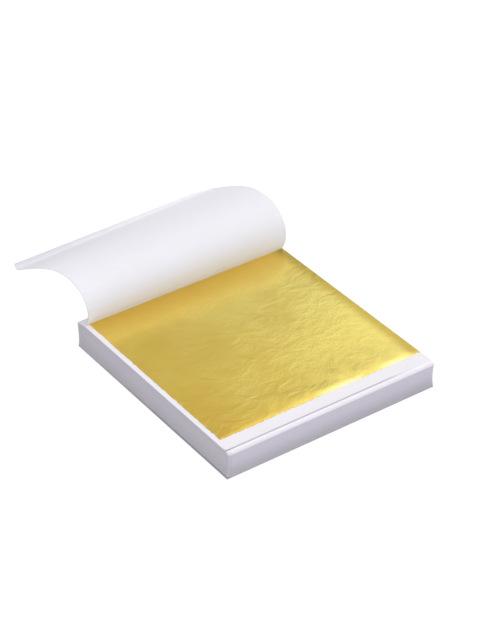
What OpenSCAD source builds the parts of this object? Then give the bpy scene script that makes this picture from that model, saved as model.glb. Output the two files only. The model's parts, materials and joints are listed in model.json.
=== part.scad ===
// Booklet of loose gold leaf: a glued pad of papers, leaves and tissue interleaves.
// X runs along the binding, Y from the front edge to the spine, Z up.
// The origin is the middle of the underside.

/* [Sheets] */
// Width of a gold leaf, along the binding
leaf_w = 85; // [60:0.5:110]
// Depth of a gold leaf, from front to back
leaf_d = 81; // [60:0.5:110]
// Thickness of a base paper
paper_t = 0.05; // [0.04:0.005:0.08]
// Thickness of a gold leaf with the air it traps
leaf_t = 0.01; // [0.008:0.001:0.02]
// Thickness of a tissue interleaf
tissue_t = 0.04; // [0.03:0.005:0.06]
// Number of sets of paper, leaf and interleaf
sets = 100; // [30:1:120]

/* [Margins] */
// How much wider a base paper is than its leaf
side_margin = 2.5; // [1.5:0.1:10]
// Depth of base paper in front of the leaf
front_margin = 7.4; // [4:0.1:15]
// How much wider a tissue interleaf is than its leaf
tissue_margin = 1; // [0.5:0.1:1.5]
// Distance that the top paper's right edge keeps to the leaf
right_margin = 0; // [0:0.1:2]
// Distance that a closed leaf keeps to the block's right edge
inner_margin = 0.8; // [0.5:0.1:2]
// Depth of the glued strip behind the crease
bound_d = 3.6; // [2:0.1:6]

/* [Card and glue] */
// Thickness of the bottom card
card_t = 0.4; // [0.3:0.05:1.5]
// Thickness of the padding glue on the spine
glue_t = 0.3; // [0.15:0.05:1]

/* [Edges of the block] */
// Radius that the upper front edge is worn to
edge_round = 1.4; // [0.6:0.1:2.5]
// Depth of the hollow that the guillotine leaves at half height
waist = 0.3; // [0:0.05:0.6]
// How far the top sheets sit in from the left edge
left_inset = 0.7; // [0:0.1:1.2]
// How far the spine stands out further at the top
spine_overhang = 0.8; // [0:0.1:1.5]
// Unevenness of the sheets' edges
scatter = 0.06; // [0:0.01:0.12]

/* [Lifted interleaf] */
// Length of the lifted sheet from the crease to its curled edge
lift_len = 63; // [50:1:70]
// Angle at which it leaves the crease
crease_angle = 119; // [90:1:125]
// Angle at which it comes down behind the pad
tail_angle = -31.5; // [-40:0.5:-10]
// How near the crease its left edge bends over
bend_left = 0.23; // [0.15:0.01:0.6]
// How near the crease its right edge bends over
bend_right = 0.32; // [0.15:0.01:0.6]
// Sharpness of the bend
bend_power = 1.6; // [1.3:0.1:2.6]
// Radius of the curl along its free edge, at the left
curl_left = 1.6; // [0.5:0.1:2.5]
// Radius of the curl at the right
curl_right = 0.6; // [0.5:0.1:2.5]
// Angle through which the free edge is curled up
curl_angle = 125; // [60:5:170]

/* [Clearances] */
// Air under a sheet that turns or slides
lift_gap = 0.02; // [0.01:0.01:0.1]
// Slot left at each fold line of a turning sheet
fold_gap = 0.1; // [0.06:0.01:0.2]
// Height of the interleaf's fold above the leaf
fold_rise = 0.15; // [0.1:0.01:0.3]

/* [Hidden] */

bundles = 9;
fold_steps = 6;
curl_steps = 12;
scatter_turn = 137.5;

card_white = "#dcdade";
paper_white = "#f3f0f3";
tissue_white = "#e9e8ee";
gold = "#d8b04a";
glue_clear = "#d9d8d2";

paper_w = leaf_w + side_margin;
paper_d = front_margin + leaf_d + bound_d;
tissue_w = leaf_w + tissue_margin;
front_y = -paper_d / 2;
back_y = paper_d / 2;
crease_y = back_y - bound_d;
left_x = -paper_w / 2;
right_x = paper_w / 2;

set_t = paper_t + leaf_t + tissue_t;
bound_t = paper_t + tissue_t;
top_set = sets - 1;
block_h = card_t + sets * set_t;
spine_h = card_t + sets * bound_t;

// Height of the foot of set k where the sheets lie flat, and at the glued spine
function flat_z(k) = card_t + k * set_t;
function spine_z(k) = card_t + k * bound_t;

// The spine's face leans back a little from bottom to top
function spine_y(z) = back_y + spine_overhang * z / spine_h;

// How far a sheet's edge at height z sits in from the outline of the block
function hollow(z) = waist * 4 * (z / block_h) * (1 - z / block_h);
function rounding(z) =
  let (up = max(0, z - (block_h - edge_round)))
  edge_round - sqrt(max(0, edge_round * edge_round - up * up));
function stray(k) = scatter * (1 + sin(k * scatter_turn)) / 2;

function front_edge(k, z) = front_y + hollow(z) + rounding(z) + stray(k);
function left_edge(k, z) = left_x + hollow(z) + left_inset * z / block_h + stray(k + 1);
function right_edge(k, z) = right_x - hollow(z) - stray(k + 2);

// A side view, drawn as Y and Z, drawn out from x0 to x1
module along_x(x0, x1) {
  translate([x0, 0, 0]) rotate([90, 0, 90]) linear_extrude(x1 - x0) children();
}

// Side view of a bound sheet that starts at y0, bends at the crease and thins to the spine
module bound_profile(y0, z, t, zs) {
  polygon([
    [y0, z],
    [crease_y, z],
    [spine_y(zs), zs],
    [spine_y(zs + t), zs + t],
    [crease_y, z + t],
    [y0, z + t]
  ]);
}

// Side view of the bound strip alone, where a turning sheet is parted at the crease
module strip_profile(z, t, zs) {
  slope = (zs - z) / (spine_y(zs) - crease_y);
  polygon([
    [crease_y + fold_gap, z + slope * fold_gap],
    [spine_y(zs), zs],
    [spine_y(zs + t), zs + t],
    [crease_y + fold_gap, z + t + slope * fold_gap]
  ]);
}

module base_paper(k) {
  z = flat_z(k);
  along_x(left_edge(k, z), right_edge(k, z))
    bound_profile(front_edge(k, z), z, paper_t, spine_z(k));
}

module interleaf(k) {
  z = flat_z(k) + paper_t + leaf_t;
  along_x(left_edge(k, z) + (paper_w - tissue_w), right_edge(k, z))
    bound_profile(front_edge(k, z), z, tissue_t, spine_z(k) + paper_t);
}

module leaf_sheet(x1, z) {
  translate([x1 - leaf_w, crease_y - leaf_d, z]) cube([leaf_w, leaf_d, leaf_t]);
}

// First and last set of one bundle; the top set stands apart from the bundles
function bundle_start(i) = floor((i - 1) * top_set / bundles);
function bundle_sets(i) = [bundle_start(i) : bundle_start(i + 1) - 1];

module base_papers(i) {
  color(paper_white) for (k = bundle_sets(i)) base_paper(k);
}

module gold_leaves(i) {
  color(gold) for (k = bundle_sets(i)) leaf_sheet(right_x - inner_margin, flat_z(k) + paper_t);
}

module interleaves(i) {
  color(tissue_white) for (k = bundle_sets(i)) interleaf(k);
}

module bottom_card() {
  color(card_white) along_x(left_x, right_x) polygon([
    [front_y, 0],
    [spine_y(0), 0],
    [spine_y(card_t), card_t],
    [front_y, card_t]
  ]);
}

// One coat of glue over the ends of all the sheets
module spine_glue() {
  color(glue_clear) along_x(left_x + left_inset, right_x) polygon([
    [spine_y(0), 0],
    [spine_y(0) + glue_t, 0],
    [spine_y(spine_h) + glue_t, spine_h],
    [spine_y(spine_h), spine_h]
  ]);
}

top_z = flat_z(top_set) + lift_gap;
leaf_z = top_z + paper_t + lift_gap;
fold_z = leaf_z + leaf_t + fold_rise;
top_left = left_edge(top_set, top_z);
top_right = right_edge(top_set, top_z);
tissue_left = top_right - tissue_w;

module top_paper_bound_strip() {
  color(paper_white) along_x(top_left, top_right)
    strip_profile(flat_z(top_set), paper_t, spine_z(top_set));
}

module top_paper() {
  color(paper_white) translate([top_left, front_edge(top_set, block_h), top_z])
    cube([top_right - top_left, crease_y - front_edge(top_set, block_h), paper_t]);
}

module top_gold_leaf() {
  color(gold) leaf_sheet(top_right - right_margin, leaf_z);
}

module top_interleaf_bound_strip() {
  color(tissue_white) along_x(tissue_left, top_right)
    strip_profile(flat_z(top_set) + paper_t + leaf_t, tissue_t, spine_z(top_set) + paper_t);
}

// The lifted sheet turns from its crease angle to its tail angle, mostly near the crease.
// Straight rulings join the points where its two edges head the same way, so it could be
// rolled out flat, and it is parted at fold lines along such rulings.
nears = [bend_left, bend_right];
near_mid = (bend_left + bend_right) / 2;

// Share of the turn made at share u of the length, and its inverse
function bend(u, near) =
  let (a = pow(u, bend_power), b = pow(near * (1 - u), bend_power)) a / (a + b);
function place(e, near) =
  e <= 0 ? 0 : e >= 1 ? 1 : near / (near + pow((1 - e) / e, 1 / bend_power));
function heading(e) = crease_angle + (tail_angle - crease_angle) * e;

// Shares of the length where the fold lines lie, closer together where it bends most
fold_at = [0, 0.14, 0.28, 0.42, 0.56, 0.75, 1];
folds = len(fold_at) - 1;
steps = folds * fold_steps;
function step_at(j) =
  let (i = floor(j / fold_steps), f = j / fold_steps - i)
  fold_at[i] + f * (fold_at[min(i + 1, folds)] - fold_at[i]);
function turn_at(j) = bend(step_at(j), near_mid);

// Edge curve as [y, z] points, each step added to the sum of those before it
function edge_curve(side, j = 0, p = [crease_y, fold_z]) =
  j == steps
    ? [p]
    : let (
        e0 = turn_at(j),
        e1 = turn_at(j + 1),
        a = heading((e0 + e1) / 2),
        d = (place(e1, nears[side]) - place(e0, nears[side])) * lift_len
      )
      concat([p], edge_curve(side, j + 1, p + d * [cos(a), sin(a)]));

curves = [edge_curve(0), edge_curve(1)];

// The free edge curls up over the sheet, in an arc that is wider at the left
curls = [curl_left, curl_right];
function curl_point(side, j) =
  let (
    centre = curves[side][steps] + curls[side] * [-sin(tail_angle), cos(tail_angle)],
    a = tail_angle - 90 + curl_angle * j / curl_steps
  )
  centre + curls[side] * [cos(a), sin(a)];
function sheet_point(side, j) = j <= steps ? curves[side][j] : curl_point(side, j - steps);
function sheet_heading(j) =
  j <= steps ? heading(turn_at(j)) : tail_angle + curl_angle * (j - steps) / curl_steps;

// Four corners of the sheet's section at step j: left and right, outer and inner face
function corner(side, j, face) =
  let (
    a = sheet_heading(j),
    q = sheet_point(side, j) + face * tissue_t / 2 * [-sin(a), cos(a)]
  )
  [side == 0 ? tissue_left : top_right, q.x, q.y];
function section(j) = [corner(0, j, 1), corner(1, j, 1), corner(1, j, -1), corner(0, j, -1)];

// The slot at a fold line is taken from the start of each piece
function slot_section(j) =
  let (here = section(j), next = section(j + 1))
  [for (c = [0 : 3]) here[c] + fold_gap * (next[c] - here[c]) / norm(next[c] - here[c])];

module sheet_piece(first, last) {
  rings = concat([slot_section(first)], [for (j = [first + 1 : last]) section(j)]);
  n = len(rings) - 1;
  points = [for (ring = rings) for (p = ring) p];
  sides = [
    for (j = [0 : n - 1]) for (c = [0 : 3])
      let (a = 4 * j + c, b = 4 * j + (c + 1) % 4)
      each c == 2 ? [[a, b, a + 4], [b, b + 4, a + 4]] : [[a, b, b + 4], [a, b + 4, a + 4]]
  ];
  ends = [[2, 1, 0], [3, 2, 0], [4 * n, 4 * n + 1, 4 * n + 2], [4 * n, 4 * n + 2, 4 * n + 3]];
  polyhedron(points, concat(sides, ends));
}

module top_interleaf_fold(i) {
  color(tissue_white) sheet_piece((i - 1) * fold_steps, i * fold_steps);
}

module top_interleaf_curled_edge() {
  color(tissue_white) sheet_piece((folds - 1) * fold_steps, steps + curl_steps);
}

bottom_card();
spine_glue();
for (i = [1 : bundles]) {
  base_papers(i);
  gold_leaves(i);
  interleaves(i);
}
top_paper_bound_strip();
top_paper();
top_gold_leaf();
top_interleaf_bound_strip();
for (i = [1 : folds - 1])
  top_interleaf_fold(i);
top_interleaf_curled_edge();
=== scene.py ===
import json
import math

import bmesh
import bpy
from mathutils import Matrix, Vector, noise


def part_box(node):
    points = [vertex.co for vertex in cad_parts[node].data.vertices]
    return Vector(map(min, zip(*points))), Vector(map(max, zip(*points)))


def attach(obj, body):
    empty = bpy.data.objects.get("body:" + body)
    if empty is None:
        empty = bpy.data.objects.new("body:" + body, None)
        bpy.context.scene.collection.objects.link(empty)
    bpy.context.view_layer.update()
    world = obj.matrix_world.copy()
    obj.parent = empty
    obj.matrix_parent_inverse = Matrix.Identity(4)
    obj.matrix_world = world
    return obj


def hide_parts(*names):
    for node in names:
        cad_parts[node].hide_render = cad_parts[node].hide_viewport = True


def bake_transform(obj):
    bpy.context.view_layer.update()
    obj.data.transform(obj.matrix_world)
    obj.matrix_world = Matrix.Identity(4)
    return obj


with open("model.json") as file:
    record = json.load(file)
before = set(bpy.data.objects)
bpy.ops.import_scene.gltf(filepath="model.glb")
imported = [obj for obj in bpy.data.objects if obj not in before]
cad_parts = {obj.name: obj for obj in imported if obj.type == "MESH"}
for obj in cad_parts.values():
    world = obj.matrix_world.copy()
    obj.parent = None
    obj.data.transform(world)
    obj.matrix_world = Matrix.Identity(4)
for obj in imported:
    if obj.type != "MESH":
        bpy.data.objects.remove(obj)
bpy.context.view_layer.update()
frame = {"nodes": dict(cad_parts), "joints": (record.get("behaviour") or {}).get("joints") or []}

# Sizes and places are in millimetres, and this is one in metres
MM = 0.001


def corners(node):
    """The lowest and the highest corner of a CAD node."""
    return [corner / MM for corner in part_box(node)]


def ease(value):
    """Rises smoothly from 0 to 1 as the value does, and is level before and after."""
    value = min(1, max(0, value))
    return value * value * (3 - 2 * value)


card_low, card_high = corners("bottom_card")
page_low, page_high = corners("top_paper")
leaf_low, leaf_high = corners("top_gold_leaf")
tissue_low, tissue_high = corners("top_interleaf_fold_1")
tail_high = corners("top_interleaf_curled_edge")[1]

# Camera

PICTURE = (480, 640)
FOCAL_PIXELS = 2116.8
SENSOR = 36.0
# Nearest and farthest distance that is drawn, in metres
CLIP = (0.01, 20)
LOOK_DOWN = math.radians(35.094)
LOOK_RIGHT = math.radians(35.447)
# The leaf's front left corner, where it stands in the picture, and how far off it is
AIM = Vector((leaf_low.x, leaf_low.y, leaf_high.z))
AIM_PIXEL = (220.209, 440.629)
AIM_DISTANCE = 693.8


def add_camera():
    forward = Vector(
        (
            math.sin(LOOK_RIGHT) * math.cos(LOOK_DOWN),
            math.cos(LOOK_RIGHT) * math.cos(LOOK_DOWN),
            -math.sin(LOOK_DOWN),
        )
    )
    right = Vector((math.cos(LOOK_RIGHT), -math.sin(LOOK_RIGHT), 0))
    up = right.cross(forward)
    across = (AIM_PIXEL[0] - PICTURE[0] / 2) / FOCAL_PIXELS
    below = (AIM_PIXEL[1] - PICTURE[1] / 2) / FOCAL_PIXELS
    place = AIM - (forward + right * across - up * below) * AIM_DISTANCE
    data = bpy.data.cameras.new("camera")
    data.sensor_width = SENSOR
    data.lens = FOCAL_PIXELS * SENSOR / max(PICTURE)
    data.clip_start, data.clip_end = CLIP
    camera = bpy.data.objects.new("camera", data)
    turn = Matrix((right, up, -forward)).transposed().to_4x4()
    camera.matrix_world = Matrix.Translation(place * MM) @ turn
    bpy.context.scene.collection.objects.link(camera)
    bpy.context.scene.camera = camera


add_camera()

# Nodes that materials are made of


def colour(code):
    """A linear colour from an sRGB hex value."""
    parts = [int(code[k : k + 2], 16) / 255 for k in (1, 3, 5)]
    return [p / 12.92 if p <= 0.04045 else ((p + 0.055) / 1.055) ** 2.4 for p in parts] + [1]


def add(tree, kind, inputs=None, **settings):
    """Adds a node; inputs gives a socket a value, or the output that feeds it."""
    made = tree.nodes.new(kind)
    for name, value in settings.items():
        setattr(made, name, value)
    for socket, value in (inputs or {}).items():
        if isinstance(value, bpy.types.NodeSocket):
            tree.links.new(value, made.inputs[socket])
        else:
            made.inputs[socket].default_value = value
    return made


def new_material(name):
    made = bpy.data.materials.new(name)
    made.use_nodes = True
    made.node_tree.nodes.clear()
    return made, made.node_tree


def calc(tree, operation, *values, **settings):
    """One step of arithmetic on values and outputs."""
    made = add(
        tree, "ShaderNodeMath", dict(enumerate(values)), operation=operation, **settings
    )
    return made.outputs[0]


def times(tree, share, *others):
    """The product of two or more shares."""
    for other in others:
        share = calc(tree, "MULTIPLY", share, other)
    return share


def smooth_step(tree, value, start, full):
    """0 where the value is at the start, 1 where it is full, and smooth between."""
    return add(
        tree,
        "ShaderNodeMapRange",
        {"Value": value, "From Min": start, "From Max": full},
        interpolation_type="SMOOTHSTEP",
    ).outputs["Result"]


def mix_colour(tree, share, a, b, **settings):
    return add(
        tree,
        "ShaderNodeMix",
        {"Factor": share, "A": a, "B": b},
        data_type="RGBA",
        **settings,
    ).outputs["Result"]


def mix_shader(tree, share, a, b):
    return add(tree, "ShaderNodeMixShader", {0: share, 1: a, 2: b}).outputs[0]


def places(tree):
    """The X, Y and Z outputs of the place on the object."""
    place = add(tree, "ShaderNodeTexCoord").outputs["Object"]
    return add(tree, "ShaderNodeSeparateXYZ", {0: place}).outputs


def band(tree, axis, limits):
    """The share of a band across the object, from where it starts to where it is full."""
    start, full = limits
    return smooth_step(tree, axis, start * MM, full * MM)


def clouds(tree, sizes, detail, roughness=0.5, distortion=0.0, turn=0.0):
    """Noise with patches of these sizes along X, Y and Z, turned by degrees about Z."""
    place = add(
        tree,
        "ShaderNodeMapping",
        {
            "Vector": add(tree, "ShaderNodeTexCoord").outputs["Object"],
            "Rotation": (0, 0, math.radians(turn)),
            "Scale": [size * MM for size in sizes],
        },
        vector_type="TEXTURE",
    )
    return add(
        tree,
        "ShaderNodeTexNoise",
        {
            "Vector": place.outputs["Vector"],
            "Scale": 1.0,
            "Detail": detail,
            "Roughness": roughness,
            "Distortion": distortion,
        },
    ).outputs["Fac"]


def relief(tree, pattern, height, strength=1.0, **under):
    """A bumped normal, over the normal that is given as Normal."""
    return add(
        tree,
        "ShaderNodeBump",
        {"Height": pattern, "Strength": strength, "Distance": height * MM, **under},
    ).outputs["Normal"]


def principled(tree, **values):
    """The main surface shader, with an underscore for each space in a socket's name."""
    sockets = {name.replace("_", " "): value for name, value in values.items()}
    return add(tree, "ShaderNodeBsdfPrincipled", sockets).outputs["BSDF"]


def finish_material(tree, surface):
    add(tree, "ShaderNodeOutputMaterial", {"Surface": surface})


# Paper

# Each pair here and below gives where a band starts and where it is full
# Painted shade on the cut faces, for the shade that falls between their sheets:
# what a cut face keeps of the paper's colour at the table, and above this band
CUT_LOW = colour("#c8c7cb")
CUT_HIGH = colour("#eae7ee")
CUT_Z = (0, 7)
# The rounded upper front edge faces up, so it gets a painted highlight and no painted shade
LIT_EDGE = colour("#f8f7fa")
LIT_EDGE_Y = (page_low.y + 0.4, page_low.y + 0.1)
LIT_EDGE_Z = (page_low.z - 1.17, page_low.z - 0.87)
# The front left corner gets half as much painted shade as the faces beside it
CORNER_KEEPS = 0.5
CORNER_X = (card_low.x + 0.85, card_low.x + 0.45)
CORNER_Y = (card_low.y + 0.7, card_low.y + 0.3)
# A shadow line parts the card from the lowest sheet on the left face, faintest at the back
SHADOW = colour("#77767a")
SHADOW_SHARE = 0.7
SHADOW_X = (card_low.x + 1.25, card_low.x + 0.85)
SHADOW_Y = (card_high.y - 1, card_low.y + 16)
SHADOW_Z = (card_high.z + 0.55, card_high.z + 0.2)
# A painted line of shade follows the open page's front edge and fades out to the right
EDGE_SHADE = colour("#8d8c90")
EDGE_SHADE_SHARE = 0.3
EDGE_SHADE_X = (38, 22)
EDGE_SHADE_FRONT_Y = (page_low.y + 0.2, page_low.y + 0.4)
EDGE_SHADE_BACK_Y = (page_low.y + 0.85, page_low.y + 0.65)


def darker_cut(tree, tint):
    """Paints shade on upright faces, most by the table and half at the front left corner, and
    paints the front edge light.
    """
    normal = add(tree, "ShaderNodeNewGeometry").outputs["Normal"]
    flat = add(tree, "ShaderNodeSeparateXYZ", {0: normal}).outputs["Z"]
    at = places(tree)
    # The upward-facing front edge, painted light and kept out of the painted shade
    lit_edge = times(tree, band(tree, at["Z"], LIT_EDGE_Z), band(tree, at["Y"], LIT_EDGE_Y))
    # The front left corner, which gets half of the painted shade
    corner = times(tree, band(tree, at["X"], CORNER_X), band(tree, at["Y"], CORNER_Y))
    kept = calc(tree, "MULTIPLY_ADD", corner, CORNER_KEEPS, lit_edge)
    steep = calc(tree, "SUBTRACT", 1.0, flat)
    steep = calc(tree, "SUBTRACT", steep, kept, use_clamp=True)
    # Painted highlight on the front edge
    tint = mix_colour(tree, lit_edge, tint, LIT_EDGE)
    # Painted shade between the sheets of the cut faces, darkest by the table
    cut = mix_colour(tree, band(tree, at["Z"], CUT_Z), CUT_LOW, CUT_HIGH)
    cut = mix_colour(tree, 1.0, tint, cut, blend_type="MULTIPLY")
    tint = mix_colour(tree, steep, tint, cut)
    shadow = times(
        tree,
        SHADOW_SHARE,
        band(tree, at["X"], SHADOW_X),
        band(tree, at["Y"], SHADOW_Y),
        band(tree, at["Z"], SHADOW_Z),
    )
    tint = mix_colour(tree, shadow, tint, SHADOW)
    # Painted shade under the open page's front edge
    edge_shade = times(
        tree,
        EDGE_SHADE_SHARE,
        band(tree, at["X"], EDGE_SHADE_X),
        band(tree, at["Y"], EDGE_SHADE_FRONT_Y),
        band(tree, at["Y"], EDGE_SHADE_BACK_Y),
        band(tree, at["Z"], LIT_EDGE_Z),
    )
    return mix_colour(tree, edge_shade, tint, EDGE_SHADE)


def paper(name, pale, grey, sizes, roughness=0.75, cut=False):
    """Uncoated wood-free paper: matt, nearly white, with a faint clouding of its fibres.

    The cut edges of a pressed stack get painted shade, for the shade between their sheets, so they
    look greyer.
    """
    made, tree = new_material(name)
    fibres = clouds(tree, sizes, detail=4.0, roughness=0.6)
    tint = mix_colour(tree, fibres, colour(grey), colour(pale))
    if cut:
        tint = darker_cut(tree, tint)
    normal = relief(tree, fibres, height=0.01, strength=0.3)
    surface = principled(tree, Base_Color=tint, Roughness=roughness, IOR=1.45, Normal=normal)
    finish_material(tree, surface)
    return made


# Tissue

# The part that hangs out behind gets painted shade, most at its left end
TAIL = colour("#f2f2f5")
TAIL_X = (30, -40)
TAIL_Y = (tail_high.y - 30.35, tail_high.y - 7.35)
# A painted line of shade shows along the cut left edge
RIM = colour("#b4b3b8")
RIM_SHARE = 0.5
RIM_X = (tissue_low.x + 0.275, tissue_low.x + 0.025)


def tissue(name, pale, grey, through):
    """Glazed tissue: thin enough to glow with the light behind it, with a soft sheen."""
    made, tree = new_material(name)
    fibres = clouds(tree, (2.5, 2.5, 2.5), detail=5.0, roughness=0.65)
    tint = mix_colour(tree, fibres, colour(grey), colour(pale))
    at = places(tree)
    # Painted shade on the part that hangs out behind
    tail = times(tree, band(tree, at["Y"], TAIL_Y), band(tree, at["X"], TAIL_X))
    tint = mix_colour(tree, tail, tint, TAIL)
    # Painted shade line along the cut left edge
    rim = times(tree, RIM_SHARE, band(tree, at["X"], RIM_X))
    tint = mix_colour(tree, rim, tint, RIM)
    front = principled(tree, Base_Color=tint, Roughness=0.55, IOR=1.45)
    glow = add(tree, "ShaderNodeBsdfTranslucent", {"Color": tint}).outputs["BSDF"]
    finish_material(tree, mix_shader(tree, through, front, glow))
    return made


# Beaten leaf

# Short wrinkles: how far apart, how many degrees round from the spine's line, and how high
WRINKLE_SIZES = (0.75, 1.2, 0.75)
WRINKLE_TURN = -35.0
WRINKLE_HEIGHT = 0.07
# Soft waves under them: how far apart and how high
WAVE_SIZES = (9, 7, 7)
WAVE_HEIGHT = 0.125
# Patches where the leaf lies smoother or more crumpled: how wide, the noise at which it is
# smooth and crumpled, and how far they shift its tint
PATCH_SIZES = (14, 14, 14)
PATCH_CRUMPLED = (0.3, 0.6)
PATCH_TINT = (-0.4, 0.4)
# The leaf is smoothest at the left and along the right edge, where this share of its wrinkles
# is left, and its colour is painted paler to the right, a painted reflection
SMOOTH_SHARE = 0.25
SMOOTH_LEFT_X = (leaf_low.x - 0.7, leaf_low.x + 36.3)
SMOOTH_RIGHT_X = (leaf_high.x - 1.7, leaf_high.x - 13.7)
PALER_X = (leaf_low.x - 4.7, leaf_high.x - 1.7)
# Painted reflection: warmer by the fold, where the lifted sheet is mirrored, and darker along
# the right edge, where the leaf turns down
FOLD_Y = (leaf_high.y - 22.4, leaf_high.y - 4.4)
RIGHT_EDGE_X = (leaf_high.x - 6.2, leaf_high.x - 0.7)
# A painted highlight along the front edge, in patches and from the middle to the right
FRONT_HIGHLIGHT_X = (-12, 15)
FRONT_HIGHLIGHT_Y = (leaf_low.y + 2.8, leaf_low.y + 0.4)
FRONT_HIGHLIGHT_PATCHES = (0.42, 0.6)
# Painted shade at the front left corner
LEAF_CORNER_SHADE_X = (leaf_low.x + 13.3, leaf_low.x + 0.3)
LEAF_CORNER_SHADE_Y = (leaf_low.y + 16.6, leaf_low.y + 0.6)
# Torn flecks along the cut front and left edges catch the light
FLECK_X = (leaf_low.x + 0.88, leaf_low.x + 0.08)
FLECK_Y = (leaf_low.y + 1.3, leaf_low.y + 0.2)
FLECK_WRINKLES = (0.54, 0.64)


def leaf_tint(tree, at, wrinkles, patches, bright, deep):
    """Yellow metal, deeper and brighter in patches, with painted reflection, highlights and shade.
    """
    # Painted reflection: the colour grows paler to the right
    paler = add(
        tree,
        "ShaderNodeMapRange",
        {"Value": at["X"], "From Min": PALER_X[0] * MM, "From Max": PALER_X[1] * MM},
    )
    uneven = add(
        tree,
        "ShaderNodeMapRange",
        {"Value": patches, "To Min": PATCH_TINT[0], "To Max": PATCH_TINT[1]},
    )
    share = calc(tree, "ADD", paler.outputs["Result"], uneven.outputs["Result"])
    tint = mix_colour(tree, share, colour(deep), colour(bright), clamp_factor=True)
    # Painted reflection by the fold and along the right edge
    by_fold = band(tree, at["Y"], FOLD_Y)
    right_edge = band(tree, at["X"], RIGHT_EDGE_X)
    # Painted highlight along the front edge
    front_highlight = times(
        tree,
        band(tree, at["X"], FRONT_HIGHLIGHT_X),
        band(tree, at["Y"], FRONT_HIGHLIGHT_Y),
        smooth_step(tree, patches, *FRONT_HIGHLIGHT_PATCHES),
    )
    # Painted shade at the front left corner
    corner_shade = times(tree, band(tree, at["X"], LEAF_CORNER_SHADE_X), band(tree, at["Y"], LEAF_CORNER_SHADE_Y))
    cut_edge = calc(
        tree, "MAXIMUM", band(tree, at["X"], FLECK_X), band(tree, at["Y"], FLECK_Y)
    )
    flecks = times(tree, cut_edge, smooth_step(tree, wrinkles, *FLECK_WRINKLES))
    # The zones paint reflection by the fold and the right edge, highlights on the front edge and
    # flecks, and shade at the corner
    for zone, strength, code in (
        (by_fold, 0.8, "#ffdc6c"),
        (right_edge, 1.0, "#cdb352"),
        (front_highlight, 1.0, "#fff0aa"),
        (corner_shade, 0.45, "#cba94a"),
        (flecks, 0.8, "#fffbe4"),
    ):
        tint = mix_colour(tree, times(tree, zone, strength), tint, colour(code))
    return tint


def beaten_leaf(name, bright, deep):
    """Beaten brass leaf: a bright metal skin with short wrinkles that cross each other."""
    made, tree = new_material(name)
    wrinkles = clouds(tree, WRINKLE_SIZES, detail=3.0, distortion=1.0, turn=WRINKLE_TURN)
    waves = clouds(tree, WAVE_SIZES, detail=2.0, distortion=1.5)
    patches = clouds(tree, PATCH_SIZES, detail=3.0)
    at = places(tree)
    middle = times(
        tree, band(tree, at["X"], SMOOTH_LEFT_X), band(tree, at["X"], SMOOTH_RIGHT_X)
    )
    middle = calc(tree, "MULTIPLY_ADD", middle, 1 - SMOOTH_SHARE, SMOOTH_SHARE)
    crumpled = times(tree, smooth_step(tree, patches, *PATCH_CRUMPLED), middle)
    normal = relief(tree, waves, WAVE_HEIGHT)
    normal = relief(tree, wrinkles, WRINKLE_HEIGHT, crumpled, Normal=normal)
    tint = leaf_tint(tree, at, wrinkles, patches, bright, deep)
    surface = principled(tree, Base_Color=tint, Metallic=1.0, Roughness=0.2, Normal=normal)
    finish_material(tree, surface)
    return made


# Sheet edges show as faint level streaks, drawn 0.5 mm apart where the real ones are 0.1 mm
STREAKS = (14, 14, 0.5)
base_paper = paper("wood_free_base_paper", "#f2f0f3", "#ebe9ed", STREAKS, cut=True)
closed_tissue = paper(
    "pressed_tissue_edges", "#efedf2", "#e6e4ea", STREAKS, roughness=0.6, cut=True
)
card = paper("grey_white_bottom_card", "#c9c7cd", "#bdbbc2", (6, 6, 6), roughness=0.8)
glue = paper("dried_padding_glue", "#dcdad8", "#d2d0cf", (5, 5, 5), roughness=0.45)
lifted_tissue = tissue("glazed_interleaf_tissue", "#fcfcfe", "#f7f7fa", through=0.45)
leaf_metal = beaten_leaf("beaten_brass_leaf", "#ecda78", "#dfbd53")

for name, node in frame["nodes"].items():
    if "gold" in name:
        made = leaf_metal
    elif name == "top_interleaf_bound_strip" or name.startswith("interleaves"):
        made = closed_tissue
    elif name.startswith("top_interleaf"):
        made = lifted_tissue
    elif name == "bottom_card":
        made = card
    elif name == "spine_glue":
        made = glue
    else:
        made = base_paper
    node.data.materials.clear()
    node.data.materials.append(made)

# Meshes

# Edges that turn by more than this stay sharp
SHARP = math.radians(40)


def to_object(bm, name, material, smooth=True):
    """A bmesh in millimetres becomes an object in metres."""
    bmesh.ops.scale(bm, vec=(MM, MM, MM), verts=bm.verts)
    for face in bm.faces:
        face.smooth = smooth
    for edge in bm.edges:
        if edge.is_manifold and edge.calc_face_angle() > SHARP:
            edge.smooth = False
    mesh = bpy.data.meshes.new(name)
    bm.to_mesh(mesh)
    bm.free()
    mesh.materials.append(material)
    made = bpy.data.objects.new(name, mesh)
    bpy.context.scene.collection.objects.link(made)
    return made


def sheet_grid(columns, rows, place):
    """A grid whose points are moved to place(across, along), both counted from 0 to 1."""
    bm = bmesh.new()
    bmesh.ops.create_grid(bm, x_segments=columns, y_segments=rows, size=0.5)
    for vert in bm.verts:
        vert.co = place(vert.co.x + 0.5, vert.co.y + 0.5)
    return bm


def thicken(bm, thickness):
    bmesh.ops.recalc_face_normals(bm, faces=bm.faces)
    bmesh.ops.solidify(bm, geom=bm.faces, thickness=thickness)


# Lifted interleaf, which is the solids' own sheet with finer rows

# Its fold lies where its first hinge is
fold = next(joint for joint in frame["joints"] if joint["name"] == "interleaf_turn")
CREASE_Y, FOLD_Z = (value / MM for value in fold["pos_m"][1:])
# Length from the fold to the curl, and its slope at either end, in degrees from straight back
LIFT = 63.0
CREASE_ANGLE = 119.0
TAIL_ANGLE = -31.5
# How near the fold the left and the right edge bend over, their mean, and how sharply
NEAR = (0.23, 0.32)
NEAR_MID = sum(NEAR) / 2
BEND_POWER = 1.6
# Radius of the curl at the left and at the right, and the angle that it turns through
CURL_RADII = (1.6, 0.6)
CURL_ANGLE = 125.0
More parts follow.
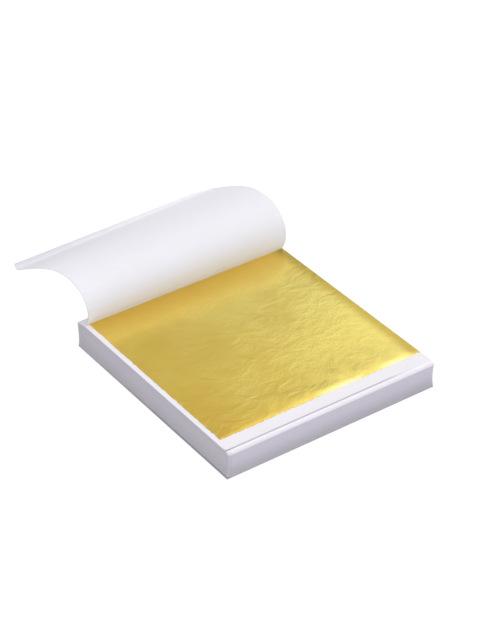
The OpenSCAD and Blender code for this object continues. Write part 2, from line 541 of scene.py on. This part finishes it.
# The curl opens by this share at its right end, starting from here across the sheet
CURL_OPENS = 0.6
OPENS_FROM = 0.889
# Shares of the length at which the sheet is parted
FOLD_AT = (0, 0.14, 0.28, 0.42, 0.56, 0.75, 1)
TISSUE = 0.04
# Rows in each part and in the curl, columns, and the steps in which a row's place is summed
ROWS = 20
CURL_ROWS = 24
COLUMNS = 40
SUMMING_STEPS = 12
# How far past a fold line the line from spread_turn reaches at most
BLEND_REACH = 9.0


def bend_share(length):
    """Share of the turn that the middle of the sheet has made at a share of its length."""
    a = length**BEND_POWER
    b = (NEAR_MID * (1 - length)) ** BEND_POWER
    return a / (a + b)


def bend_place(turned, near):
    """Share of the length at which an edge has made a share of the turn."""
    if turned <= 0 or turned >= 1:
        return float(turned >= 1)
    return near / (near + ((1 - turned) / turned) ** (1 / BEND_POWER))


def heading(turned):
    return math.radians(CREASE_ANGLE + (TAIL_ANGLE - CREASE_ANGLE) * turned)


def edge_points(turns, near):
    """The (y, z) of an edge at each share of its turn, summed in small steps."""
    y, z, last, points = CREASE_Y, FOLD_Z, 0.0, []
    for turn in turns:
        for k in range(SUMMING_STEPS):
            here = last + (turn - last) * k / SUMMING_STEPS
            there = last + (turn - last) * (k + 1) / SUMMING_STEPS
            step = LIFT * (bend_place(there, near) - bend_place(here, near))
            angle = heading((here + there) / 2)
            y += step * math.cos(angle)
            z += step * math.sin(angle)
        last = turn
        points.append((y, z))
    return points


def curl_points(end, radius):
    """The arc in which the free edge curls up over the sheet."""
    tail = math.radians(TAIL_ANGLE)
    centre = (end[0] - radius * math.sin(tail), end[1] + radius * math.cos(tail))
    points = []
    for k in range(1, CURL_ROWS + 1):
        angle = tail - math.pi / 2 + math.radians(CURL_ANGLE) * k / CURL_ROWS
        points.append((centre[0] + radius * math.cos(angle), centre[1] + radius * math.sin(angle)))
    return points


def sheet_rows():
    """Rows of the whole sheet as (left, right) points, and the row at which each part ends."""
    turns, lines = [0.0], [0]
    for start, end in zip(FOLD_AT, FOLD_AT[1:]):
        for k in range(1, ROWS + 1):
            # Closest together at the fold lines
            share = (1 - math.cos(math.pi * k / ROWS)) / 2
            turns.append(bend_share(start + (end - start) * share))
        lines.append(len(turns) - 1)
    edges = [edge_points(turns, near) for near in NEAR]
    edges = [edge + curl_points(edge[-1], radius) for edge, radius in zip(edges, CURL_RADII)]
    lines[-1] = len(edges[0]) - 1
    return list(zip(*edges)), lines


def part_place(rows, first, count):
    """Returns place(across, along) on the part of the sheet that has these rows."""
    left, right = tissue_low.x, tissue_high.x

    def place(across, along):
        row = along * count
        if row > ROWS:
            row -= (row - ROWS) * CURL_OPENS * ease((across - OPENS_FROM) / (1 - OPENS_FROM))
        k, part = first + int(row), row - int(row)
        here, there = rows[k], rows[min(k + 1, len(rows) - 1)]
        (left_y, left_z), (right_y, right_z) = (
            [a + (b - a) * part for a, b in zip(*ends)] for ends in zip(here, there)
        )
        return Vector(
            (
                left + (right - left) * across,
                left_y + (right_y - left_y) * across,
                left_z + (right_z - left_z) * across,
            )
        )

    return place


def spread_turn(place, count):
    """The two ends of a line from the middle of the part's fold line, square to it, as long as the
    reach allows.
    """
    start = place(0.5, 0)
    ruling = (place(1, 0) - place(0, 0)).normalized()
    ahead = place(0.5, 1 / count) - start
    ahead = (ahead - ruling * ahead.dot(ruling)).normalized()
    # It stops at the part's last line, if that comes sooner
    last_line = [place(across, ROWS / count) for across in (0, 1)]
    reach = min(BLEND_REACH, *((end - start).dot(ahead) for end in last_line))
    return start, start + ahead * reach


def lifted_sheet():
    rows, lines = sheet_rows()
    for i in range(1, len(lines)):
        count = lines[i] - lines[i - 1]
        place = part_place(rows, lines[i - 1], count)
        start, end = spread_turn(place, count)
        bm = sheet_grid(COLUMNS, count, place)
        thicken(bm, TISSUE)
        last_part = i == len(lines) - 1
        node = "top_interleaf_curled_edge" if last_part else f"top_interleaf_fold_{i}"
        name = "interleaf_curled_edge" if last_part else f"interleaf_part_{i}"
        piece = to_object(bm, name, lifted_tissue)
        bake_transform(piece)
        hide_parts(node)


lifted_sheet()

# Open page

PAGE_CELLS = (60, 60)
# The front edge springs up and back by this much, over this depth, as far as the painted line of
# shade shows
LIP_UP = 0.15
LIP_BACK = 0.4
LIP_DEPTH = 3.5
# It springs up more at the left corner, this many times, over this width
LIP_CORNER = 1.8
LIP_CORNER_WIDTH = 4


def open_page():
    low, high = page_low, page_high
    wide, deep = high.x - low.x, high.y - low.y
    ends, begins = EDGE_SHADE_X

    def place(across, along):
        # Rows lie closer together towards the front edge
        x, from_front = low.x + wide * across, deep * along * along
        share = 1 - ease(from_front / LIP_DEPTH)
        share *= 1 - ease((x - begins) / (ends - begins))
        corner = LIP_CORNER + (1 - LIP_CORNER) * ease((x - low.x) / LIP_CORNER_WIDTH)
        return Vector((x, low.y + from_front + LIP_BACK * share, low.z + LIP_UP * share * corner))

    bm = sheet_grid(*PAGE_CELLS, place)
    thicken(bm, high.z - low.z)
    lowest = min(vert.co.z for vert in bm.verts)
    bmesh.ops.translate(bm, vec=(0, 0, low.z - lowest), verts=bm.verts)
    piece = to_object(bm, "open_page", base_paper)
    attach(piece, "page")
    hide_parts("top_paper")


open_page()

# Open gold leaf

LEAF_CELLS = (205, 195)
# Slow swells, this wide and high, about a mean that is this many times their height
SWELL_WIDTH = 22
SWELL_HEIGHT = 0.1
SWELL_MEAN = 0.6
# Short pleats that run across the slant, with the numbers that shape their fractal noise
PLEAT_WIDTH = 7
PLEAT_DEPTH = 4.5
PLEAT_HEIGHT = 0.02
PLEAT_SHAPE = (0.9, 2.1, 3, 0.9, 2.0)
# They grow from left to right
PLEAT_LEFT = 0.3
PLEAT_GAIN = 0.9
# A swell behind the front edge: its height, then the depths in which it rises and falls
FRONT_HEIGHT = 0.3
FRONT_RISE = 2.6
FRONT_FALL = 14
# It is uneven, with lumps this wide and deep, and reaches its height this far across
FRONT_MEAN = 0.75
FRONT_LUMPS = 0.8
LUMP_WIDTH = 5
LUMP_DEPTH = 8
FRONT_ACROSS = 0.75
# A low swell inside the right edge
RIGHT_HEIGHT = 0.07
RIGHT_RISE = 4.5
RIGHT_FALL = 16
# The leaf comes down to its paper over these widths at the front edge and at the crease
FRONT_DOWN = 1.5
CREASE_DOWN = 3
# Only this share of the rise is left near the crease, where the closed interleaf comes close
FLAT_SHARE = 0.2
FLAT_TO = 16
FLAT_FADES = 30
# Its cut edges are ragged by this much, in tears this long, but less at the right
RAGGED = 0.6
TEAR = 0.9
RAGGED_RIGHT = RAGGED / 3
# Where each pattern is cut from its noise
SWELL_CUT, PLEAT_CUT, LUMP_CUT, TEAR_CUT = 3.1, 1.7, 0.3, 9.4


def leaf_rise(x, y):
    """How high the leaf stands off its paper."""
    across = (x - leaf_low.x) / (leaf_high.x - leaf_low.x)
    from_front, from_right, from_crease = y - leaf_low.y, leaf_high.x - x, leaf_high.y - y
    swell = noise.noise(Vector((x / SWELL_WIDTH, y / SWELL_WIDTH, SWELL_CUT)))
    pleat = noise.ridged_multi_fractal(
        Vector((x / PLEAT_WIDTH + swell, y / PLEAT_DEPTH, PLEAT_CUT)), *PLEAT_SHAPE
    )
    rise = SWELL_HEIGHT * (swell + SWELL_MEAN)
    rise += PLEAT_HEIGHT * pleat * ease(PLEAT_LEFT + PLEAT_GAIN * across)
    lumps = noise.noise(Vector((x / LUMP_WIDTH, y / LUMP_DEPTH, LUMP_CUT)))
    front = ease(from_front / FRONT_RISE) * (1 - ease((from_front - FRONT_RISE) / FRONT_FALL))
    front *= (FRONT_MEAN + FRONT_LUMPS * lumps) * ease(across / FRONT_ACROSS)
    rise += FRONT_HEIGHT * front
    rise += RIGHT_HEIGHT * (1 - ease((from_right - RIGHT_RISE) / RIGHT_FALL))
    rise *= ease(from_right / RIGHT_RISE)
    rise *= ease(from_front / FRONT_DOWN) * ease(from_crease / CREASE_DOWN)
    rise *= FLAT_SHARE + (1 - FLAT_SHARE) * ease((from_crease - FLAT_TO) / FLAT_FADES)
    return max(0, rise)


def open_leaf():
    low, high = leaf_low, leaf_high
    wide, deep = high.x - low.x, high.y - low.y

    def place(across, along):
        x, y = low.x + wide * across, low.y + deep * along
        z = low.z + leaf_rise(x, y)
        tear = abs(noise.noise(Vector((x / TEAR, y / TEAR, TEAR_CUT))))
        if across == 0:
            x += RAGGED * tear
        if across == 1:
            x -= RAGGED_RIGHT * tear
        if along == 0:
            y += RAGGED * tear
        return Vector((x, y, z))

    bm = sheet_grid(*LEAF_CELLS, place)
    thicken(bm, high.z - low.z)
    piece = to_object(bm, "open_gold_leaf", leaf_metal)
    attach(piece, "leaf")
    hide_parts("top_gold_leaf")


open_leaf()

# Room

# Half the floor's width in metres
FLOOR_HALF = 3.0
# The floor lies this far under the pad, so that the two faces don't share a plane
FLOOR_GAP = 0.05
# How much of the floor the camera sees as white, and how bright that is
FLOOR_WHITE = 0.85
FLOOR_GLOW = 1.1
WHITE = (1, 1, 1, 1)
# The room that lights the pad
ROOM_LIGHT = 0.72
ROOM_TINT = colour("#fcfbff")
# The room that the metal mirrors: its light low down and high up, the heights between which it
# changes, and how much lower a place in front counts
MIRROR_LOW = 0.368
MIRROR_HIGH = 1.024
MIRROR_HEIGHTS = (0.1, 0.95)
FRONT_LOWER = 0.5
# Soft boxes: degrees round from the front to the right, degrees up, distance and size in
# metres, and power in watts
LAMPS = {
    "overhead_box": (0, 88, 0.9, 0.9, 2.0),
    "front_box": (-10, 45, 1.0, 1.0, 1.9),
    "back_right_box": (114, 34.6, 0.53, 0.4, 0.18),
}


def seen_rays(tree):
    """1 for what the camera sees, straight or through the tissue, and 0 for light."""
    path = add(tree, "ShaderNodeLightPath").outputs
    return calc(tree, "MAXIMUM", path["Is Camera Ray"], path["Is Transmission Ray"])


def add_floor():
    """A pale matt floor that the camera sees as white, with a trace of shadow."""
    made, tree = new_material("pale_floor")
    share = times(tree, seen_rays(tree), FLOOR_WHITE)
    matt = add(tree, "ShaderNodeBsdfDiffuse", {"Color": colour("#e2e1e5")})
    white = add(tree, "ShaderNodeEmission", {"Color": WHITE, "Strength": FLOOR_GLOW})
    finish_material(tree, mix_shader(tree, share, matt.outputs[0], white.outputs[0]))
    bm = bmesh.new()
    bmesh.ops.create_grid(bm, x_segments=1, y_segments=1, size=FLOOR_HALF / MM)
    bmesh.ops.translate(bm, vec=(0, 0, -FLOOR_GAP), verts=bm.verts)
    floor = to_object(bm, "floor", made, smooth=False)


def add_world():
    """A white room, of which the metal mirrors a dimmer one, darkest low down and in front."""
    world = bpy.data.worlds.new("soft_room")
    bpy.context.scene.world = world
    world.use_nodes = True
    tree = world.node_tree
    tree.nodes.clear()
    place = add(tree, "ShaderNodeTexCoord").outputs["Generated"]
    axes = add(tree, "ShaderNodeSeparateXYZ", {0: place}).outputs
    front = calc(tree, "MINIMUM", axes["Y"], 0.0)
    height = calc(tree, "MULTIPLY_ADD", front, FRONT_LOWER, axes["Z"])
    brightness = add(
        tree,
        "ShaderNodeMapRange",
        {
            "Value": height,
            "From Min": MIRROR_HEIGHTS[0],
            "From Max": MIRROR_HEIGHTS[1],
            "To Min": MIRROR_LOW,
            "To Max": MIRROR_HIGH,
        },
        interpolation_type="SMOOTHSTEP",
    ).outputs["Result"]
    room, mirrored, white = (
        add(tree, "ShaderNodeBackground", {"Color": tint, "Strength": light}).outputs[0]
        for tint, light in ((ROOM_TINT, ROOM_LIGHT), (WHITE, brightness), (WHITE, 1.0))
    )
    glossy = add(tree, "ShaderNodeLightPath").outputs["Is Glossy Ray"]
    lit = mix_shader(tree, glossy, room, mirrored)
    surface = mix_shader(tree, seen_rays(tree), lit, white)
    add(tree, "ShaderNodeOutputWorld", {"Surface": surface})


def add_lamp(name, side, height, distance, size, power):
    data = bpy.data.lights.new(name, "AREA")
    data.shape = "SQUARE"
    data.size = size
    data.energy = power
    lamp = bpy.data.objects.new(name, data)
    a, e = math.radians(side), math.radians(height)
    away = Vector((math.sin(a) * math.cos(e), -math.cos(a) * math.cos(e), math.sin(e)))
    turn = away.to_track_quat("Z", "Y").to_matrix().to_4x4()
    lamp.matrix_world = Matrix.Translation(away * distance) @ turn
    bpy.context.scene.collection.objects.link(lamp)


add_floor()
add_world()
for name, values in LAMPS.items():
    add_lamp(name, *values)

bpy.context.scene.view_settings.view_transform = "Standard"
